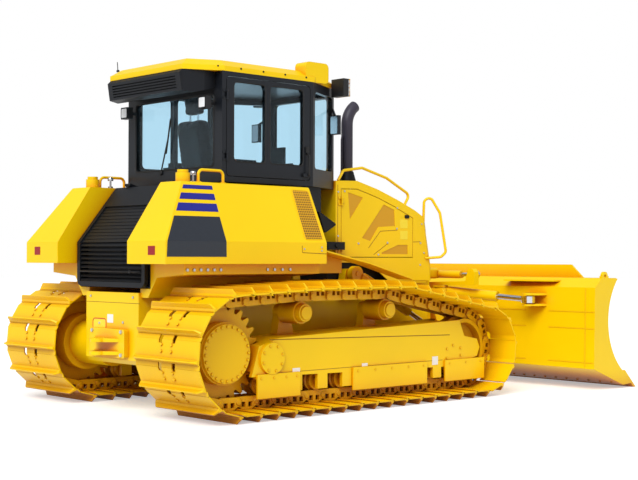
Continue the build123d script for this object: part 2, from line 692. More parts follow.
def build_rear_cowl():
    """The compartment between the housings that the grille closes: floor, side walls and top panel."""
    with BuildPart() as cowl:
        for side in SIDES.values():
            with BuildSketch(facing(side, GRILLE_HALF_W - 2)):
                with BuildLine():
                    Polyline(
                        *grille_profile(GRILLE_T + 4), (at(CAB_REAR - 12), HOUSING_TOP_Z),
                        (at(CAB_REAR - 12), GRILLE_BOTTOM_Z), close=True,
                    )
                make_face()
            extrude(amount=8, dir=(0, side, 0))
        with Locations((at((GRILLE_REAR + GRILLE_T + CAB_REAR) / 2), 0, GRILLE_BOTTOM_Z)):
            Box(
                CAB_REAR - GRILLE_REAR - GRILLE_T - 40, 2 * GRILLE_HALF_W, COWL_FLOOR_T,
                align=(Align.CENTER, Align.CENTER, Align.MIN),
            )
        top_length = CAB_REAR - 12 - GRILLE_TOP_STATION - GRILLE_T * 1.2 - 4
        with Locations((at(CAB_REAR - 12 - top_length / 2), 0, HOUSING_TOP_Z)):
            Box(top_length, 2 * (GRILLE_HALF_W + 6), 10, align=(Align.CENTER, Align.CENTER, Align.MAX))
        axis_z = HOUSING_TOP_Z + GRILLE_HINGE_RISE
        for side in SIDES.values():
            for inner in (GRILLE_HINGE_Y - HINGE_H, GRILLE_HINGE_Y + HINGE_H / 2 + HINGE_PLAY):
                with BuildSketch(facing(side, inner)):
                    with Locations((at(GRILLE_TOP_STATION), axis_z)):
                        Circle(GRILLE_HINGE_R)
                    with BuildLine():
                        Polyline(
                            (at(GRILLE_TOP_STATION), axis_z + GRILLE_HINGE_R),
                            (at(GRILLE_TOP_STATION), axis_z - GRILLE_HINGE_R + 4),
                            (at(GRILLE_TOP_STATION + 60), HOUSING_TOP_Z),
                            (at(GRILLE_TOP_STATION + 110), HOUSING_TOP_Z),
                            close=True,
                        )
                    make_face()
                extrude(amount=HINGE_H / 2 - HINGE_PLAY, dir=(0, side, 0))
            with BuildSketch(facing(side, GRILLE_HINGE_Y - HINGE_H)):
                with Locations((at(GRILLE_TOP_STATION), axis_z)):
                    Circle(GRILLE_PIN_R)
            extrude(amount=2 * HINGE_H, dir=(0, side, 0))
    return cowl


def build_rear_grille():
    """The hinged rear grille: a bent frame with rounded corners, a plain head panel and sloping slats."""
    half = GRILLE_HALF_W - 10
    slat_count = 20
    slope = math.atan2(HOUSING_TOP_Z - HOUSING_KINK_Z, GRILLE_TOP_STATION - GRILLE_REAR)
    slope_length = math.hypot(HOUSING_TOP_Z - HOUSING_KINK_Z, GRILLE_TOP_STATION - GRILLE_REAR)
    lower_h = HOUSING_KINK_Z - GRILLE_BOTTOM_Z
    head = 230.0
    rim = 46.0
    with BuildPart() as grille:
        with BuildSketch(Plane.YZ.offset(at(GRILLE_REAR))):
            with Locations((0, GRILLE_BOTTOM_Z + lower_h / 2)):
                Rectangle(2 * half, lower_h)
            with Locations((0, GRILLE_BOTTOM_Z + rim + (lower_h - rim) / 2 + 20)):
                Rectangle(2 * (half - rim), lower_h - rim + 40, mode=Mode.SUBTRACT)
        extrude(amount=GRILLE_T)
        fillet(
            grille.edges().filter_by(Axis.X).group_by(Axis.Z)[0], radius=70,
        )
        sloped = Plane(
            origin=(at(GRILLE_REAR), 0, HOUSING_KINK_Z), x_dir=(0, 1, 0),
            z_dir=(math.sin(slope), 0, -math.cos(slope)),
        )
        with BuildSketch(sloped):
            with Locations((0, slope_length / 2)):
                Rectangle(2 * half, slope_length)
            with Locations((0, (slope_length - head) / 2)):
                Rectangle(2 * (half - rim), slope_length - head, mode=Mode.SUBTRACT)
        extrude(amount=GRILLE_T)
        total = lower_h - rim + slope_length - head
        for i in range(slat_count):
            run = (i + 0.5) * total / slat_count
            if run < lower_h - rim:
                x, z = at(GRILLE_REAR), GRILLE_BOTTOM_Z + rim + run
            else:
                up = run - (lower_h - rim)
                x, z = at(GRILLE_REAR) + up * math.cos(slope), HOUSING_KINK_Z + up * math.sin(slope)
            with BuildSketch(Plane.XZ):
                with BuildLine():
                    Polyline(
                        (x + 6, z - 16), (x + 11, z - 18), (x + 33, z + 8), (x + 28, z + 10), close=True
                    )
                make_face()
            extrude(amount=half - rim + 2, both=True)
        for side in SIDES.values():
            axis_z = HOUSING_TOP_Z + GRILLE_HINGE_RISE
            with BuildSketch(facing(side, GRILLE_HINGE_Y - HINGE_H / 2)):
                with Locations((at(GRILLE_TOP_STATION), axis_z)):
                    Circle(GRILLE_HINGE_R)
                with Locations((at(GRILLE_TOP_STATION - 3), axis_z - GRILLE_HINGE_RISE / 2 - 6)):
                    Rectangle(GRILLE_HINGE_R + 4, GRILLE_HINGE_RISE + 12)
                with Locations((at(GRILLE_TOP_STATION), axis_z)):
                    Circle(GRILLE_PIN_R + PIN_GAP, mode=Mode.SUBTRACT)
            extrude(amount=HINGE_H, dir=(0, side, 0))
    return grille


def build_housing(side):
    """A tall side housing over one track: upright below its kink, leaning in above it, sloped at the rear."""
    with BuildPart() as housing:
        with BuildSketch(Plane.YZ.offset(at(HOUSING_REAR))):
            with BuildLine():
                Polyline(
                    (side * HOUSING_IN_Y, HOUSING_BOTTOM_Z), (side * HOUSING_OUT_Y, HOUSING_BOTTOM_Z),
                    (side * HOUSING_OUT_Y, HOUSING_KINK_Z), (side * HOUSING_TOP_OUT_Y, HOUSING_TOP_Z),
                    (side * HOUSING_IN_Y, HOUSING_TOP_Z), close=True,
                )
            make_face()
        extrude(amount=HOUSING_FRONT - HOUSING_REAR)
        fillet(
            housing.edges().filter_by(Axis.X).sort_by(Axis.Z)[-2:].sort_by(Axis.Y)[0 if side < 0 else -1],
            radius=30,
        )
        with BuildSketch(facing(side, 0)):
            with BuildLine():
                Polyline(
                    (at(HOUSING_REAR), HOUSING_KINK_Z), (at(HOUSING_TOP_REAR), HOUSING_TOP_Z),
                    (at(HOUSING_TOP_REAR), HOUSING_TOP_Z + 50), (at(HOUSING_REAR - 50), HOUSING_TOP_Z + 50),
                    (at(HOUSING_REAR - 50), HOUSING_KINK_Z), close=True,
                )
            make_face()
        extrude(amount=HOUSING_OUT_Y + 50, dir=(0, side, 0), mode=Mode.SUBTRACT)
    return housing


HOOD_TOP_LINE = (
    (1958, 2100), (2250, 2109), (2540, 2036), (2822, 1942), (3080, 1843), (3215, 1776), (3255, 1722),
    (3305, 1600), (3340, 1427), (3368, 1300), (3375, HOOD_BOTTOM_Z),
)


def hood_outline():
    """Corners of the hood's side view: top line, nose, and a lower edge stepped over the lift cylinders."""
    lower = ((2700, HOOD_BOTTOM_Z), (2420, HOOD_STEP_Z), (HOOD_TOP_LINE[0][0], HOOD_STEP_Z))
    return [(at(x), z) for x, z in HOOD_TOP_LINE + lower]


def cover_outline(gap):
    """Corners of the side cover's opening in the hood, drawn in by gap."""
    corners = (
        (COVER_REAR, 1350), (3060, 1350), (3060, 1760), (2790, 1870), (2540, 1955), (2250, 2030),
        (COVER_REAR, 2024),
    )
    with BuildSketch() as outline:
        with BuildLine():
            Polyline(*[(at(x), z) for x, z in corners], close=True)
        make_face()
        if gap > 0:
            offset(amount=-gap, kind=Kind.INTERSECTION)
    return outline.sketch


def hood_block():
    """The hood's outer form as a solid, with rounded corners down the nose."""
    with BuildPart() as block:
        with BuildSketch(Plane.XZ):
            with BuildLine():
                Polyline(*hood_outline(), close=True)
            make_face()
        extrude(amount=HOOD_HALF_W, both=True)
        nose = block.edges().filter_by(lambda e: e.center().X > at(3290) and e.center().Z < 1700)
        fillet(nose.filter_by(lambda e: abs(abs(e.center().Y) - HOOD_HALF_W) < 1), radius=70)
    return block


def hood_skin(block):
    """The hood as a shell open below and at the rear, with a round hole for the exhaust stack."""
    with BuildPart() as skin:
        add(block.part)
        with BuildSketch(Plane.XZ):
            with BuildLine():
                Polyline(*hood_outline(), close=True)
            make_face()
            offset(amount=-HOOD_WALL, kind=Kind.INTERSECTION)
        extrude(amount=HOOD_HALF_W - HOOD_WALL, both=True, mode=Mode.SUBTRACT)
        with Locations((at(2190), 0, HOOD_STEP_Z)):
            Box(440, 2 * (HOOD_HALF_W - HOOD_WALL), 60, mode=Mode.SUBTRACT)
        with Locations((at(3000), 0, HOOD_BOTTOM_Z)):
            Box(700, 2 * (HOOD_HALF_W - HOOD_WALL), 60, mode=Mode.SUBTRACT)
        with Locations((at(2560), 0, (HOOD_BOTTOM_Z + HOOD_STEP_Z) / 2)):
            Box(420, 2 * (HOOD_HALF_W - HOOD_WALL), HOOD_STEP_Z - HOOD_BOTTOM_Z + 60, mode=Mode.SUBTRACT)
        with BuildSketch(Plane.XY.offset(EXHAUST_FOOT_Z - 20)):
            with Locations((at(EXHAUST_STATION), EXHAUST_Y)):
                Circle(EXHAUST_R + RUNNING_GAP)
        extrude(amount=100, mode=Mode.SUBTRACT)
    return skin


def build_hood(skin):
    """The hood without its side covers: top, nose, lower sides and the rear frame."""
    with BuildPart() as hood:
        add(skin.part)
        with BuildSketch(Plane.XZ):
            add(cover_outline(0))
        extrude(amount=HOOD_HALF_W + 10, both=True, mode=Mode.SUBTRACT)
        for side in SIDES.values():
            for z in COVER_HINGES_Z:
                add(side_hinge(side, COVER_REAR + COVER_GAP / 2, HOOD_HALF_W, z, moving=False))
    return hood


def build_engine_cover(side):
    """A side cover of the hood, with three windows of perforated sheet set back from its face."""
    windows = (
        ((2126, 1990), (2330, 1945), (2154, 1729)),
        ((2627, 1885), (2780, 1835), (2790, 1672), (2547, 1658), (2434, 1515), (2321, 1544)),
        ((2600, 1400), (2839, 1479), (2980, 1480), (2980, 1385), (2600, 1385)),
    )
    with BuildPart() as cover:
        with BuildSketch(facing(side, HOOD_HALF_W - HOOD_WALL)):
            add(cover_outline(COVER_GAP))
        extrude(amount=HOOD_WALL, dir=(0, side, 0))
        for window in windows:
            with BuildSketch(facing(side, HOOD_HALF_W - HOOD_WALL + 3)):
                with BuildLine():
                    Polyline(*[(at(x), z) for x, z in window], close=True)
                make_face()
            extrude(amount=HOOD_WALL, dir=(0, side, 0), mode=Mode.SUBTRACT)
        for z in COVER_HINGES_Z:
            add(side_hinge(side, COVER_REAR + COVER_GAP / 2, HOOD_HALF_W, z, moving=True))
    return cover


def build_exhaust():
    """The exhaust stack: a straight black pipe whose top bends forward."""
    with BuildPart() as stack:
        with BuildLine(Plane.XZ.offset(-EXHAUST_Y)) as route:
            rise = Line((at(EXHAUST_STATION), EXHAUST_FOOT_Z), (at(EXHAUST_STATION), 2700))
            JernArc(start=rise @ 1, tangent=(0, 1), radius=230, arc_size=-58)
        with BuildSketch(Plane(origin=route.line @ 0, z_dir=(0, 0, 1))):
            Circle(EXHAUST_R)
        sweep(path=route.line)
        with BuildSketch(Plane.XY.offset(EXHAUST_COLLAR_Z)):
            with Locations((at(EXHAUST_STATION), EXHAUST_Y)):
                Circle(EXHAUST_R + 22)
        extrude(amount=110, taper=9)
    return stack


def rail(points, radius):
    """A bent round bar through the points, with a small radius at each corner."""
    with BuildPart() as bar:
        with BuildLine() as route:
            FilletPolyline(*points, radius=45)
        with BuildSketch(Plane(origin=route.line @ 0, z_dir=route.line % 0)):
            Circle(radius)
        sweep(path=route.line)
    return bar.part


def build_handrails(block):
    """Grab rails on both sides: one over the hood's top edge and one round the nose's corner."""
    y = HOOD_HALF_W - 22
    with BuildPart() as rails:
        for side in SIDES.values():
            add(rail([
                (at(2010), side * y, 2104), (at(2080), side * y, 2205), (at(2340), side * y, 2243),
                (at(2690), side * y, 2157), (at(3030), side * y, 1998), (at(2955), side * y, 1893),
            ], 14))
            add(rail([
                (at(3238), side * 455, 1725), (at(3242), side * 459, 1940), (at(3286), side * 503, 1994),
                (at(3359), side * 576, 1817), (at(3404), side * 621, 1410), (at(3367), side * 584, 1358),
                (at(3250), side * 467, 1345),
            ], 14))
        add(block.part, mode=Mode.SUBTRACT)
    return rails


def cab_plan(inset):
    """Plan of the cab: square at the rear, chamfered at both front corners, drawn in by inset."""
    corners = (
        (CAB_REAR, CAB_HALF_W), (CAB_DOOR_FRONT, CAB_HALF_W), (CAB_FRONT, CAB_FRONT_HALF_W),
        (CAB_FRONT, -CAB_FRONT_HALF_W), (CAB_DOOR_FRONT, -CAB_HALF_W), (CAB_REAR, -CAB_HALF_W),
    )
    with BuildSketch() as plan:
        with BuildLine():
            Polyline(*[(at(x), y) for x, y in corners], close=True)
        make_face()
        if inset > 0:
            offset(amount=-inset, kind=Kind.INTERSECTION)
    return plan.sketch


def door_outline(gap):
    """The side door's outline in the XZ plane, drawn in by gap."""
    with BuildSketch() as outline:
        with Locations((at((DOOR_REAR + DOOR_FRONT) / 2), (DOOR_BOTTOM_Z + DOOR_TOP_Z) / 2)):
            RectangleRounded(DOOR_FRONT - DOOR_REAR, DOOR_TOP_Z - DOOR_BOTTOM_Z, 40)
        if gap > 0:
            offset(amount=-gap)
    return outline.sketch


def corner_pane(side, inset, bottom, top):
    """The slanted front corner window between the door post and the front post, as a sketch on its plane."""
    start = Vector(at(CAB_DOOR_FRONT), side * CAB_HALF_W, 0)
    end = Vector(at(CAB_FRONT), side * CAB_FRONT_HALF_W, 0)
    along = (end - start).normalized()
    middle = (start + end) * 0.5
    normal = Vector(along.Y, -along.X, 0) * (1 if side < 0 else -1)
    plane = Plane(origin=(middle.X, middle.Y, (bottom + top) / 2), x_dir=along, z_dir=normal)
    return plane, (end - start).length - 2 * inset


def build_cab_shell():
    """The cab's frame: posts, sills, a tub between the housings and a ceiling, with every window cut."""
    with BuildPart() as cab:
        with BuildSketch(Plane.XY.offset(CAB_SILL_Z)):
            add(cab_plan(0))
        extrude(amount=CAB_TOP_Z - CAB_SILL_Z)
        with BuildSketch(Plane.XY.offset(CAB_FLOOR_Z - CAB_FLOOR_T)):
            with Locations((at((CAB_REAR + CAB_TUB_FRONT) / 2), 0)):
                Rectangle(CAB_TUB_FRONT - CAB_REAR, 2 * CAB_TUB_HALF_W)
        extrude(amount=CAB_SILL_Z - CAB_FLOOR_Z + 60)
        with BuildSketch(Plane.XY.offset(CAB_SILL_Z + CAB_WALL - 10)):
            add(cab_plan(CAB_WALL))
        extrude(amount=CAB_TOP_Z - CAB_SILL_Z - CAB_WALL - 20, mode=Mode.SUBTRACT)
        with BuildSketch(Plane.XY.offset(CAB_FLOOR_Z)):
            with Locations((at((CAB_REAR + CAB_TUB_FRONT) / 2), 0)):
                Rectangle(CAB_TUB_FRONT - CAB_REAR - 2 * 30, 2 * (CAB_TUB_HALF_W - 30))
        extrude(amount=500, mode=Mode.SUBTRACT)
        with BuildSketch(Plane.XZ):
            add(door_outline(0))
        extrude(amount=CAB_HALF_W + 50, both=True, mode=Mode.SUBTRACT)
        with BuildSketch(Plane.YZ.offset(at(CAB_REAR) - 10)):
            with Locations((0, (REAR_GLASS_BOTTOM_Z + REAR_GLASS_TOP_Z) / 2)):
                RectangleRounded(2 * REAR_GLASS_HALF_W, REAR_GLASS_TOP_Z - REAR_GLASS_BOTTOM_Z, 40)
        extrude(amount=CAB_WALL + 20, mode=Mode.SUBTRACT)
        with BuildSketch(Plane.YZ.offset(at(CAB_FRONT) - CAB_WALL - 10)):
            with Locations((0, (FRONT_GLASS_BOTTOM_Z + GLASS_TOP_Z) / 2)):
                RectangleRounded(2 * FRONT_GLASS_HALF_W, GLASS_TOP_Z - FRONT_GLASS_BOTTOM_Z, 40)
        extrude(amount=CAB_WALL + 20, mode=Mode.SUBTRACT)
        for side in SIDES.values():
            plane, width = corner_pane(side, 50, FRONT_GLASS_BOTTOM_Z, GLASS_TOP_Z)
            with BuildSketch(plane.offset(-CAB_WALL * 2)):
                RectangleRounded(width, GLASS_TOP_Z - FRONT_GLASS_BOTTOM_Z, 40)
            extrude(amount=CAB_WALL * 3, mode=Mode.SUBTRACT)
            for z in DOOR_HINGES_Z:
                add(side_hinge(side, DOOR_REAR + DOOR_GAP / 2, CAB_HALF_W, z, moving=False))
    return cab


def build_cab_glass():
    """The fixed panes: windscreen, rear window and the two slanted corner panes."""
    with BuildPart() as glass:
        with BuildSketch(Plane.YZ.offset(at(CAB_REAR) + 20)):
            with Locations((0, (REAR_GLASS_BOTTOM_Z + REAR_GLASS_TOP_Z) / 2)):
                RectangleRounded(2 * REAR_GLASS_HALF_W, REAR_GLASS_TOP_Z - REAR_GLASS_BOTTOM_Z, 40)
        extrude(amount=GLASS_T)
        with BuildSketch(Plane.YZ.offset(at(CAB_FRONT) - 26)):
            with Locations((0, (FRONT_GLASS_BOTTOM_Z + GLASS_TOP_Z) / 2)):
                RectangleRounded(2 * FRONT_GLASS_HALF_W, GLASS_TOP_Z - FRONT_GLASS_BOTTOM_Z, 40)
        extrude(amount=GLASS_T)
        for side in SIDES.values():
            plane, width = corner_pane(side, 50, FRONT_GLASS_BOTTOM_Z, GLASS_TOP_Z)
            with BuildSketch(plane.offset(-26)):
                RectangleRounded(width, GLASS_TOP_Z - FRONT_GLASS_BOTTOM_Z, 40)
            extrude(amount=GLASS_T)
    return glass


def build_door(side):
    """A cab door: a frame as thick as the cab's wall, with a middle bar between its two panes."""
    glass_h = DOOR_GLASS_TOP_Z - DOOR_GLASS_BOTTOM_Z
    with BuildPart() as door:
        with BuildSketch(facing(side, CAB_HALF_W - CAB_WALL)):
            add(door_outline(DOOR_GAP))
            for start, end in DOOR_PANES:
                with Locations((at((start + end) / 2), (DOOR_GLASS_BOTTOM_Z + DOOR_GLASS_TOP_Z) / 2)):
                    RectangleRounded(end - start, glass_h, 45, mode=Mode.SUBTRACT)
        extrude(amount=CAB_WALL, dir=(0, side, 0))
        with BuildSketch(facing(side, CAB_HALF_W)):
            with Locations((at(DOOR_FRONT - 60), 2110)):
                RectangleRounded(90, 34, 12)
        extrude(amount=22, dir=(0, side, 0))
        for z in DOOR_HINGES_Z:
            add(side_hinge(side, DOOR_REAR + DOOR_GAP / 2, CAB_HALF_W, z, moving=True))
    return door


def build_door_glass(side):
    """The two panes of one cab door."""
    with BuildPart() as glass:
        with BuildSketch(facing(side, CAB_HALF_W - 30)):
            for start, end in DOOR_PANES:
                with Locations((at((start + end) / 2), (DOOR_GLASS_BOTTOM_Z + DOOR_GLASS_TOP_Z) / 2)):
                    RectangleRounded(end - start, DOOR_GLASS_TOP_Z - DOOR_GLASS_BOTTOM_Z, 45)
        extrude(amount=GLASS_T, dir=(0, side, 0))
    return glass


def build_cab_roof():
    """The roof plate: narrow at the rear edge, full width over the cab, with sloped edges all round."""
    corners = (
        (ROOF_REAR, ROOF_REAR_HALF_W), (CAB_REAR + 25, CAB_HALF_W), (CAB_DOOR_FRONT + 20, CAB_HALF_W),
        (CAB_FRONT + 30, CAB_FRONT_HALF_W - 10), (CAB_FRONT + 30, -CAB_FRONT_HALF_W + 10),
        (CAB_DOOR_FRONT + 20, -CAB_HALF_W), (CAB_REAR + 25, -CAB_HALF_W), (ROOF_REAR, -ROOF_REAR_HALF_W),
    )
    with BuildPart() as roof:
        with BuildSketch(Plane.XY.offset(CAB_TOP_Z)):
            with BuildLine():
                Polyline(*[(at(x), y) for x, y in corners], close=True)
            make_face()
        extrude(amount=ROOF_T)
        chamfer(roof.faces().sort_by(Axis.Z)[-1].edges(), length=60, length2=90)
        for side in SIDES.values():
            with BuildSketch(facing(side, ROOF_BOX_IN_Y)):
                with Locations((at(ROOF_BOX_STATION), CAB_TOP_Z + ROOF_BOX_H / 2)):
                    RectangleRounded(ROOF_BOX_LENGTH, ROOF_BOX_H, 45)
            extrude(amount=ROOF_BOX_W, dir=(0, side, 0))
    return roof


def build_air_unit():
    """The black air unit under the roof's rear overhang, with a row of louvres in its lower rear face."""
    half = ROOF_REAR_HALF_W + 60
    with BuildPart() as unit:
        with BuildSketch(Plane.XZ):
            with BuildLine():
                Polyline(
                    (at(ROOF_REAR + 4), CAB_TOP_Z), (at(ROOF_REAR - 30), CAB_TOP_Z - 30),
                    (at(ROOF_REAR - 4), AIR_UNIT_BOTTOM_Z), (at(ROOF_REAR + 110), AIR_UNIT_BOTTOM_Z - 12),
                    (at(CAB_REAR), AIR_UNIT_BOTTOM_Z + 40), (at(CAB_REAR), CAB_TOP_Z), close=True,
                )
            make_face()
        extrude(amount=half, both=True)
        for side in SIDES.values():
            with BuildSketch(Plane.XY.offset(CAB_TOP_Z)):
                with BuildLine():
                    Polyline(
                        (at(ROOF_REAR - 60), side * (ROOF_REAR_HALF_W - 5)),
                        (at(ROOF_REAR + 4), side * ROOF_REAR_HALF_W),
                        (at(CAB_REAR - 120), side * half), (at(CAB_REAR - 120), side * (half + 60)),
                        (at(ROOF_REAR - 60), side * (half + 60)), close=True,
                    )
                make_face()
            extrude(amount=-400, mode=Mode.SUBTRACT)
        louvre_count = 5
        for i in range(louvre_count):
            z = AIR_UNIT_BOTTOM_Z + 24 + i * 24
            x = at(ROOF_REAR - 4) - 26 * (z - AIR_UNIT_BOTTOM_Z) / (CAB_TOP_Z - 30 - AIR_UNIT_BOTTOM_Z)
            with BuildSketch(Plane.XZ):
                with BuildLine():
                    Polyline((x - 20, z - 6), (x + 24, z + 6), (x + 24, z + 14), (x - 20, z + 6), close=True)
                make_face()
            extrude(amount=ROOF_REAR_HALF_W - 70, both=True, mode=Mode.SUBTRACT)
    return unit


def build_seat():
    """The operator's seat: pedestal, cushion, back and headrest."""
    with BuildPart() as seat:
        with Locations((at(SEAT_STATION), 0, CAB_FLOOR_Z)):
            Box(420, 400, 300, align=(Align.CENTER, Align.CENTER, Align.MIN))
        with Locations((at(SEAT_STATION), 0, CAB_FLOOR_Z + 300)):
            Box(500, 500, 120, align=(Align.CENTER, Align.CENTER, Align.MIN))
        with BuildSketch(Plane.XZ):
            with BuildLine():
                Polyline(
                    (at(SEAT_STATION - 250), CAB_FLOOR_Z + 360), (at(SEAT_STATION - 340), CAB_FLOOR_Z + 1020),
                    (at(SEAT_STATION - 240), CAB_FLOOR_Z + 1020), (at(SEAT_STATION - 120), CAB_FLOOR_Z + 400),
                    close=True,
                )
            make_face()
        extrude(amount=250, both=True)
        with Locations((at(SEAT_STATION - 290), 0, CAB_FLOOR_Z + 1010)):
            Box(90, 260, 210, align=(Align.CENTER, Align.CENTER, Align.MIN))
        fillet(seat.edges().filter_by(Axis.Y).group_by(Axis.Z)[-1], radius=40)
    return seat


def build_consoles():
    """Arm consoles each side of the seat and the dash at the front of the tub."""
    with BuildPart() as consoles:
        for side in SIDES.values():
            with Locations((at(SEAT_STATION + 20), side * 390, CAB_FLOOR_Z)):
                Box(620, 190, 560, align=(Align.CENTER, Align.CENTER, Align.MIN))
        with BuildSketch(Plane.XZ):
            with BuildLine():
                Polyline(
                    (at(CAB_TUB_FRONT - 32), CAB_FLOOR_Z), (at(CAB_TUB_FRONT - 150), CAB_FLOOR_Z),
                    (at(CAB_TUB_FRONT - 260), CAB_FLOOR_Z + 520),
                        (at(CAB_TUB_FRONT - 120), CAB_FLOOR_Z + 620),
                    (at(CAB_TUB_FRONT - 32), CAB_FLOOR_Z + 560), close=True,
                )
            make_face()
        extrude(amount=260, both=True)
    return consoles


def build_fittings():
    """Filler necks, caps, and grab handles on top of the two side housings."""
    with BuildPart() as fittings:
        for side in SIDES.values():
            with Locations((at(-60), side * 700, HOUSING_TOP_Z)):
                Cylinder(62, 80, align=(Align.CENTER, Align.CENTER, Align.MIN))
            with Locations((at(-60), side * 700, HOUSING_TOP_Z + 80)):
                Cylinder(48, 26, align=(Align.CENTER, Align.CENTER, Align.MIN))
            y = side * 760
            add(rail([
                (at(60), y, HOUSING_TOP_Z), (at(60), y, HOUSING_TOP_Z + 110),
                (at(330), y, HOUSING_TOP_Z + 110), (at(330), y, HOUSING_TOP_Z),
            ], 13))
    return fittings


def build_work_lamps(roof):
    """Work lamps: two at the rear below the air unit, two on brackets at the roof's front corners."""
    with BuildPart() as lamps:
        for side in SIDES.values():
            with Locations((at(250), side * 600, 2705)):
                Box(60, 110, 110)
            with Locations((at(310), side * 600, 2705)):
                Box(80, 30, 30)
            with Locations((at(FRONT_LAMP_STATION), side * FRONT_LAMP_Y, FRONT_LAMP_Z)):
                Box(70, 170, 170)
            with Locations((at(FRONT_LAMP_STATION), side * (FRONT_LAMP_Y - 120), CAB_TOP_Z + 30)):
                Box(50, 160, 30)
        add(roof.part, mode=Mode.SUBTRACT)
    return lamps


def build_mirrors(shell):
    """A mirror on an arm at each front corner of the cab."""
    with BuildPart() as mirrors:
        for side in SIDES.values():
            start = (at(CAB_FRONT - 22), side * (CAB_FRONT_HALF_W + 8), 2790)
            end = (at(MIRROR_STATION), side * MIRROR_Y, 2700)
            plane, length = between(start, end)
            with BuildSketch(plane):
                Circle(12)
            extrude(amount=length)
            with Locations((at(MIRROR_STATION), side * MIRROR_Y, 2622)):
                Box(40, 110, 185)
        add(shell.part, mode=Mode.SUBTRACT)
    return mirrors


def build_fender(side):
    """The sloped plate ahead of the housing, between the hood and the track."""
    with BuildPart() as fender:
        with BuildSketch(facing(side, FENDER_IN_Y)):
            with BuildLine():
                Polyline(
                    (at(HOUSING_FRONT), 1420), (at(1500), 1420), (at(2100), 1300), (at(2700), 1142),
                    (at(2700), 1130), (at(2100), 1286), (at(1500), 1404), (at(HOUSING_FRONT), 1404),
                    close=True,
                )
            make_face()
        extrude(amount=FENDER_W, dir=(0, side, 0))
        with BuildSketch(facing(side, FENDER_IN_Y)):
            with BuildLine():
                Polyline(
                    (at(HOUSING_FRONT), 1405), (at(1500), 1405), (at(1900), 1330), (at(1900), 1200),
                    (at(HOUSING_FRONT), 1200), close=True,
                )
            make_face()
        extrude(amount=8, dir=(0, side, 0))
    return fender


def build_c_frame():
    """The push frame: two arms on the hull's trunnions, a cross tube, the tilt pivot and its mast."""
    arm_in = ARM_Y - ARM_W / 2
    mast_rear = CROSS_REAR + 20
    mast_front = CROSS_FRONT - 50
    lug_rear = TILT_CYL_STATION - SMALL_EYE_HALF_W - 4
    with BuildPart() as frame:
        for side in SIDES.values():
            with BuildSketch(facing(side, arm_in)):
                with BuildLine():
                    Polyline(
                        (at(TRUNNION_STATION), TRUNNION_Z - 88), (at(2600), 400), (at(CROSS_FRONT), 380),
                        (at(CROSS_FRONT), 640), (at(LIFT_EYE_STATION + 200), 640),
                        (at(LIFT_EYE_STATION + 70), LIFT_EYE_Z + 62),
                        (at(LIFT_EYE_STATION - 70), LIFT_EYE_Z + 62),
                        (at(LIFT_EYE_STATION - 200), 600), (at(2600), 590),
                        (at(TRUNNION_STATION), TRUNNION_Z + 88), close=True,
                    )
                make_face()
                with Locations((at(TRUNNION_STATION), TRUNNION_Z)):
                    Circle(88)
                    Circle(TRUNNION_R + PIN_GAP, mode=Mode.SUBTRACT)
            extrude(amount=ARM_W, dir=(0, side, 0))
            with BuildSketch(facing(side, ARM_Y - EYE_HALF_W - 3)):
                with Locations((at(LIFT_EYE_STATION), LIFT_EYE_Z)):
                    Circle(EYE_R + 34)
                with Locations((at(LIFT_EYE_STATION), LIFT_EYE_Z - LIFT_SLOT_DROP)):
                    Rectangle(420, 300, align=(Align.MAX, Align.MIN))
                    Rectangle(110, 300, align=(Align.MIN, Align.MIN))
            extrude(amount=2 * EYE_HALF_W + 6, dir=(0, side, 0), mode=Mode.SUBTRACT)
            with BuildSketch(facing(side, arm_in)):
                with Locations((at(LIFT_EYE_STATION), LIFT_EYE_Z)):
                    Circle(PIN_R)
            extrude(amount=ARM_W, dir=(0, side, 0))
        with Locations((at((CROSS_REAR + CROSS_FRONT) / 2), 0, 510)):
            Box(CROSS_FRONT - CROSS_REAR, 2 * arm_in + 20, 260)
        with BuildSketch(Plane.YZ.offset(at(CROSS_FRONT))):
            with Locations((0, TILT_Z)):
                Circle(TILT_PIN_R)
        extrude(amount=TILT_PIN_LENGTH)
        with BuildSketch(Plane.YZ.offset(at(mast_rear))):
            with BuildLine():
                Polyline((-150, 630), (150, 630), (45, 1240), (-120, 1240), close=True)
            make_face()
        extrude(amount=mast_front - mast_rear)
        with BuildSketch(Plane.YZ.offset(at(mast_front))):
            with Locations((TILT_PIN_Y + 12, TILT_CYL_Z + 10)):
                RectangleRounded(70, 116, 30)
        extrude(amount=lug_rear - mast_front)
        with BuildSketch(Plane.YZ.offset(at(lug_rear))):
            with Locations((TILT_PIN_Y, TILT_CYL_Z)):
                Circle(SMALL_PIN_R)
        extrude(amount=2 * SMALL_EYE_HALF_W + 8)
        with BuildSketch(Plane.YZ.offset(at(TILT_CYL_STATION + SMALL_EYE_HALF_W + 4))):
            with Locations((TILT_PIN_Y, TILT_CYL_Z)):
                Circle(SMALL_PIN_R + 12)
        extrude(amount=8)
    return frame


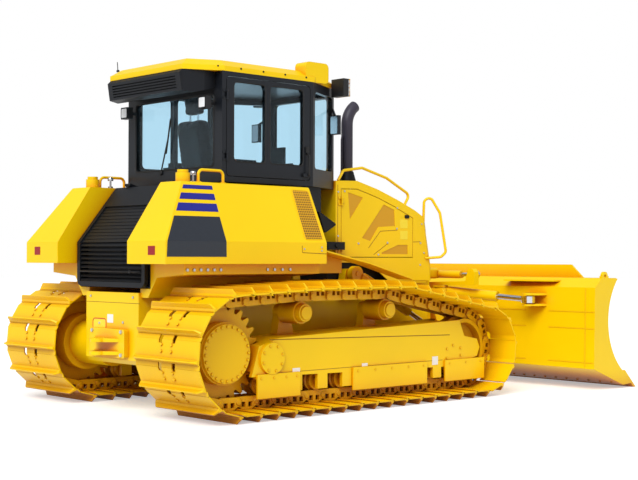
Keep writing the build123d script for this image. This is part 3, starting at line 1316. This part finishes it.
def build_yoke():
    """The tilting yoke ahead of the cross tube: tilt bore, kingpin lugs and pin, tower and tilt arm."""
    rear = CROSS_FRONT + 12
    front = KINGPIN_STATION - 100
    lug_gap = EYE_HALF_W + 3
    with BuildPart() as yoke:
        with BuildSketch(Plane.YZ.offset(at(rear))):
            with BuildLine():
                Polyline(
                    (-170, 290), (170, 290), (190, 340), (190, 660), (130, 800), (130, 1052), (-130, 1052),
                    (-130, 800), (-190, 660), (-190, 340), close=True,
                )
            make_face()
            with Locations((0, TILT_Z)):
                Circle(TILT_PIN_R + PIN_GAP, mode=Mode.SUBTRACT)
        extrude(amount=front - rear)
        for z in (KING_LUG_LOW_Z, KING_LUG_HIGH_Z):
            with BuildSketch(Plane.XY.offset(z)):
                with Locations((at((front + KINGPIN_STATION) / 2), 0)):
                    Rectangle(KINGPIN_STATION - front + 20, 170)
                with Locations((at(KINGPIN_STATION), 0)):
                    Circle(85)
            extrude(amount=KING_LUG_T)
        with BuildSketch(Plane.XY.offset(KING_LUG_LOW_Z)):
            with Locations((at(KINGPIN_STATION), 0)):
                Circle(KINGPIN_R)
        extrude(amount=KING_LUG_HIGH_Z + KING_LUG_T - KING_LUG_LOW_Z)
        for side in SIDES.values():
            for z in (ANGLE_PIN_Z - lug_gap - LUG_T, ANGLE_PIN_Z + lug_gap):
                with BuildSketch(Plane.XY.offset(z)):
                    with BuildLine():
                        Polyline(
                            (at(rear), side * 100), (at(ANGLE_PIN_STATION - LUG_R), side * ANGLE_PIN_Y),
                            (at(ANGLE_PIN_STATION + LUG_R), side * ANGLE_PIN_Y), (at(front), side * 100),
                            close=True,
                        )
                    make_face()
                    with Locations((at(ANGLE_PIN_STATION), side * ANGLE_PIN_Y)):
                        Circle(LUG_R)
                extrude(amount=LUG_T)
            with BuildSketch(Plane.XY.offset(ANGLE_PIN_Z - lug_gap - LUG_T)):
                with Locations((at(ANGLE_PIN_STATION), side * ANGLE_PIN_Y)):
                    Circle(PIN_R)
            extrude(amount=2 * (lug_gap + LUG_T))
            with BuildSketch(Plane.XY.offset(ANGLE_PIN_Z - EYE_HALF_W - 2)):
                with Locations((at(ANGLE_PIN_STATION), side * ANGLE_PIN_Y)):
                    Circle(EYE_R + 6)
                    Circle(PIN_R, mode=Mode.SUBTRACT)
            extrude(amount=2 * EYE_HALF_W + 4, mode=Mode.SUBTRACT)
        with BuildSketch(Plane.YZ.offset(at(TILT_CYL_STATION - SMALL_EYE_HALF_W - 74))):
            with BuildLine():
                Polyline(
                    (90, 1050), (TILT_EYE_Y - 60, 1062), (TILT_EYE_Y - 60, 1200), (TILT_EYE_Y - 30, 1235),
                    (TILT_EYE_Y + 30, 1235), (TILT_EYE_Y + 70, 1102), (90, 1080), close=True,
                )
            make_face()
        extrude(amount=70)
        with BuildSketch(Plane.YZ.offset(at(TILT_CYL_STATION - SMALL_EYE_HALF_W - 4))):
            with Locations((TILT_EYE_Y, TILT_CYL_Z)):
                Circle(SMALL_PIN_R)
        extrude(amount=2 * SMALL_EYE_HALF_W + 8)
        with BuildSketch(Plane.YZ.offset(at(TILT_CYL_STATION + SMALL_EYE_HALF_W + 4))):
            with Locations((TILT_EYE_Y, TILT_CYL_Z)):
                Circle(SMALL_PIN_R + 12)
        extrude(amount=8)
    return yoke


def draw_blade_face():
    """The concave front of the blade's section, from its top edge down to the cutting edge's back."""
    return ThreePointArc((at(4660), BLADE_TOP_Z - 12), (at(4495), 680), (at(4777), 166))


def build_blade():
    """The blade: a hollow-faced mouldboard with a box back, kingpin bosses, angle lugs and a raised crown."""
    eye_gap = EYE_HALF_W + ANGLE_DRIFT_Z
    boss_gap = 5.0
    with BuildPart() as blade:
        with BuildSketch(Plane.XZ):
            with BuildLine():
                draw_blade_face()
                Polyline(
                    (at(4777), 166), (at(4905), 44.5), (at(4760), 34), (at(BLADE_BACK), 222),
                    (at(BLADE_BACK + 17), 1050), (at(4380), BLADE_TOP_Z), (at(4630), BLADE_TOP_Z),
                    (at(4660), BLADE_TOP_Z - 12),
                )
            make_face()
        extrude(amount=BLADE_HALF_WIDTH, both=True)
        with BuildSketch(Plane.YZ.offset(at(4585))):
            with BuildLine():
                Polyline(
                    (-CROWN_LOW_Y, BLADE_TOP_Z - 4), (-CROWN_TOP_Y, BLADE_CROWN_Z),
                    (CROWN_TOP_Y, BLADE_CROWN_Z), (CROWN_LOW_Y, BLADE_TOP_Z - 4), close=True,
                )
            make_face()
        extrude(amount=24)
        for side in SIDES.values():
            with BuildSketch(facing(side, BLADE_HALF_WIDTH - 30)):
                with Locations((at(EYE_STATION), EYE_Z)):
                    Circle(44)
                    Rectangle(120, 60, align=(Align.CENTER, Align.MAX))
            extrude(amount=30, dir=(0, side, 0))
            with BuildSketch(facing(side, BLADE_HALF_WIDTH - 40)):
                with Locations((at(EYE_STATION), EYE_Z)):
                    Circle(EYE_BORE_R)
            extrude(amount=50, dir=(0, side, 0), mode=Mode.SUBTRACT)
        for z in (KING_LUG_LOW_Z + KING_LUG_T + boss_gap, KING_LUG_HIGH_Z - boss_gap - KING_LUG_T):
            with BuildSketch(Plane.XY.offset(z)):
                with BuildLine():
                    Polyline(
                        (at(KINGPIN_STATION), -78), (at(BLADE_BACK + 30), -260),
                        (at(BLADE_BACK + 30), 260), (at(KINGPIN_STATION), 78), close=True,
                    )
                make_face()
                with Locations((at(KINGPIN_STATION), 0)):
                    Circle(80)
                    Circle(KINGPIN_R + PIN_GAP, mode=Mode.SUBTRACT)
            extrude(amount=KING_LUG_T)
        web_bottom = KING_LUG_LOW_Z + KING_LUG_T + boss_gap
        with Locations((at(BLADE_BACK - 60), 0, web_bottom)):
            Box(
                150, 40, KING_LUG_HIGH_Z - boss_gap - web_bottom,
                align=(Align.CENTER, Align.CENTER, Align.MIN),
            )
        for side in SIDES.values():
            for z in (ANGLE_EYE_Z - eye_gap - LUG_T, ANGLE_EYE_Z + eye_gap):
                with BuildSketch(Plane.XY.offset(z)):
                    with BuildLine():
                        Polyline(
                            (at(ANGLE_EYE_STATION), side * (ANGLE_EYE_Y - 60)),
                            (at(BLADE_BACK + 30), side * (ANGLE_EYE_Y - 130)),
                            (at(BLADE_BACK + 30), side * (ANGLE_EYE_Y + 130)),
                            (at(ANGLE_EYE_STATION), side * (ANGLE_EYE_Y + 60)), close=True,
                        )
                    make_face()
                    with Locations((at(ANGLE_EYE_STATION), side * ANGLE_EYE_Y)):
                        Circle(60)
                extrude(amount=LUG_T)
            with BuildSketch(Plane.XY.offset(ANGLE_EYE_Z - eye_gap - LUG_T)):
                with Locations((at(ANGLE_EYE_STATION), side * ANGLE_EYE_Y)):
                    Circle(PIN_R)
            extrude(amount=2 * (eye_gap + LUG_T))
        with BuildSketch(Plane.XY.offset(GUSSET_Z)):
            with BuildLine():
                Polyline(
                    (at(4380), -740), (at(BLADE_BACK), -740), (at(4140), -790), (at(4160), -860),
                    (at(BLADE_BACK), -1370), (at(4380), -1400), close=True,
                )
            make_face()
        extrude(amount=16)
    return blade


def build_cutting_edge():
    """The bevelled cutting edge bolted along the blade's lower front."""
    with BuildPart() as edge:
        with BuildSketch(Plane.XZ):
            with BuildLine():
                Polyline(
                    (at(4777), 166), (at(4795), 185), (at(BLADE_REACH), 0),
                    (at(BLADE_REACH - 37), 0), close=True
                )
            make_face()
        extrude(amount=BLADE_HALF_WIDTH, both=True)
    return edge


def build_barrel(pin, eye, axis, size):
    """A cylinder's barrel: an eye round its pin, a hollow tube, and a gland that the rod runs in."""
    plane, _ = between(pin, eye)
    neck = size["eye_r"] * 0.82
    with BuildPart() as barrel:
        with BuildSketch(plane.offset(neck)):
            Circle(size["tube_r"])
        extrude(amount=size["barrel"] - neck)
        with BuildSketch(plane.offset(size["base"])):
            Circle(size["bore_r"])
        extrude(amount=size["barrel"] - size["base"] - size["gland"], mode=Mode.SUBTRACT)
        with BuildSketch(plane.offset(size["base"])):
            Circle(size["rod_r"] + PIN_GAP)
        extrude(amount=size["barrel"], mode=Mode.SUBTRACT)
        eye_plane = Plane(origin=pin, z_dir=axis)
        with BuildSketch(eye_plane.offset(-size["eye_half"])):
            Circle(size["eye_r"])
        extrude(amount=2 * size["eye_half"])
        with BuildSketch(eye_plane.offset(-size["tube_r"])):
            Circle(size["pin_r"] + PIN_GAP)
        extrude(amount=2 * size["tube_r"], mode=Mode.SUBTRACT)
    return barrel


def build_rod(pin, eye, axis, size):
    """A cylinder's rod: a piston inside the barrel and an eye with an open bore round its pin."""
    plane, _ = between(eye, pin)
    neck = size["eye_r"] * 0.9
    with BuildPart() as rod:
        with BuildSketch(plane.offset(neck)):
            Circle(size["rod_r"])
        extrude(amount=size["rod"] - neck)
        with BuildSketch(plane.offset(size["rod"] - size["piston"])):
            Circle(size["bore_r"] - PIN_GAP)
        extrude(amount=size["piston"])
        eye_plane = Plane(origin=eye, z_dir=axis)
        with BuildSketch(eye_plane.offset(-size["eye_half"])):
            Circle(size["eye_r"])
            Circle(size["open_r"], mode=Mode.SUBTRACT)
        extrude(amount=2 * size["eye_half"])
    return rod


LIFT_SIZE = {
    "tube_r": 50.0, "bore_r": 40.0, "rod_r": 28.0, "eye_r": EYE_R, "eye_half": EYE_HALF_W, "pin_r": PIN_R,
    "open_r": OPEN_BORE_R, "base": 95.0, "gland": 50.0, "piston": 40.0, "barrel": 850.0, "rod": 930.0,
}
ANGLE_SIZE = dict(LIFT_SIZE, tube_r=54.0, bore_r=44.0, rod_r=30.0, barrel=640.0, rod=800.0)
TILT_SIZE = {
    "tube_r": 42.0, "bore_r": 33.0, "rod_r": 21.0, "eye_r": 44.0, "eye_half": SMALL_EYE_HALF_W,
    "pin_r": SMALL_PIN_R, "open_r": SMALL_PIN_R + 9, "base": 60.0, "gland": 35.0, "piston": 30.0,
    "barrel": 345.0, "rod": 360.0,
}


def build_cylinders():
    """All five cylinders, as (name, builder) pairs of a barrel and a rod each."""
    pieces = []
    for name, side in SIDES.items():
        pin = (at(LIFT_PIN_STATION), side * ARM_Y, LIFT_PIN_Z)
        eye = (at(LIFT_EYE_STATION), side * ARM_Y, LIFT_EYE_Z)
        pieces.append((f"lift_barrel_{name}", build_barrel(pin, eye, (0, 1, 0), LIFT_SIZE)))
        pieces.append((f"lift_rod_{name}", build_rod(pin, eye, (0, 1, 0), LIFT_SIZE)))
        pin = (at(ANGLE_PIN_STATION), side * ANGLE_PIN_Y, ANGLE_PIN_Z)
        eye = (at(ANGLE_EYE_STATION), side * ANGLE_EYE_Y, ANGLE_EYE_Z)
        pieces.append((f"angle_barrel_{name}", build_barrel(pin, eye, (0, 0, 1), ANGLE_SIZE)))
        pieces.append((f"angle_rod_{name}", build_rod(pin, eye, (0, 0, 1), ANGLE_SIZE)))
    pin = (at(TILT_CYL_STATION), TILT_PIN_Y, TILT_CYL_Z)
    eye = (at(TILT_CYL_STATION), TILT_EYE_Y, TILT_CYL_Z)
    pieces.append(("tilt_barrel", build_barrel(pin, eye, (1, 0, 0), TILT_SIZE)))
    pieces.append(("tilt_rod", build_rod(pin, eye, (1, 0, 0), TILT_SIZE)))
    return pieces


def build_all():
    """Every piece of the machine, as (name, builder) pairs."""
    block = hood_block()
    skin = hood_skin(block)
    shell = build_cab_shell()
    roof = build_cab_roof()
    pieces = [
        ("main_frame", build_main_frame()), ("drawbar", build_drawbar()), ("engine_block", build_engine()),
        ("cooling_pack", build_cooling_pack()), ("rear_cowl", build_rear_cowl()),
        ("rear_grille", build_rear_grille()), ("cross_shafts", build_cross_shafts()),
        ("hood", build_hood(skin)), ("exhaust_stack", build_exhaust()), ("handrails", build_handrails(block)),
        ("cab_shell", shell), ("cab_glass", build_cab_glass()), ("cab_roof", roof),
        ("roof_air_unit", build_air_unit()), ("seat", build_seat()), ("control_consoles", build_consoles()),
        ("housing_fittings", build_fittings()), ("work_lamps", build_work_lamps(roof)),
        ("mirrors", build_mirrors(shell)), ("c_frame", build_c_frame()), ("blade_yoke", build_yoke()),
        ("blade", build_blade()), ("cutting_edge", build_cutting_edge()),
    ]
    sided = (
        ("side_housing", build_housing), ("fender", build_fender), ("track_frame", build_track_frame),
        ("track_rollers", build_rollers), ("idler", build_idler), ("sprocket", build_sprocket),
        ("track", build_track), ("engine_cover", build_engine_cover), ("cab_door", build_door),
        ("door_glass", build_door_glass),
    )
    for stem, build in sided:
        for name, side in SIDES.items():
            pieces.append((f"{stem}_{name}", build(side)))
    return pieces + build_cylinders()


os.makedirs("parts", exist_ok=True)
for piece_name, piece in build_all():
    save(piece, piece_name)
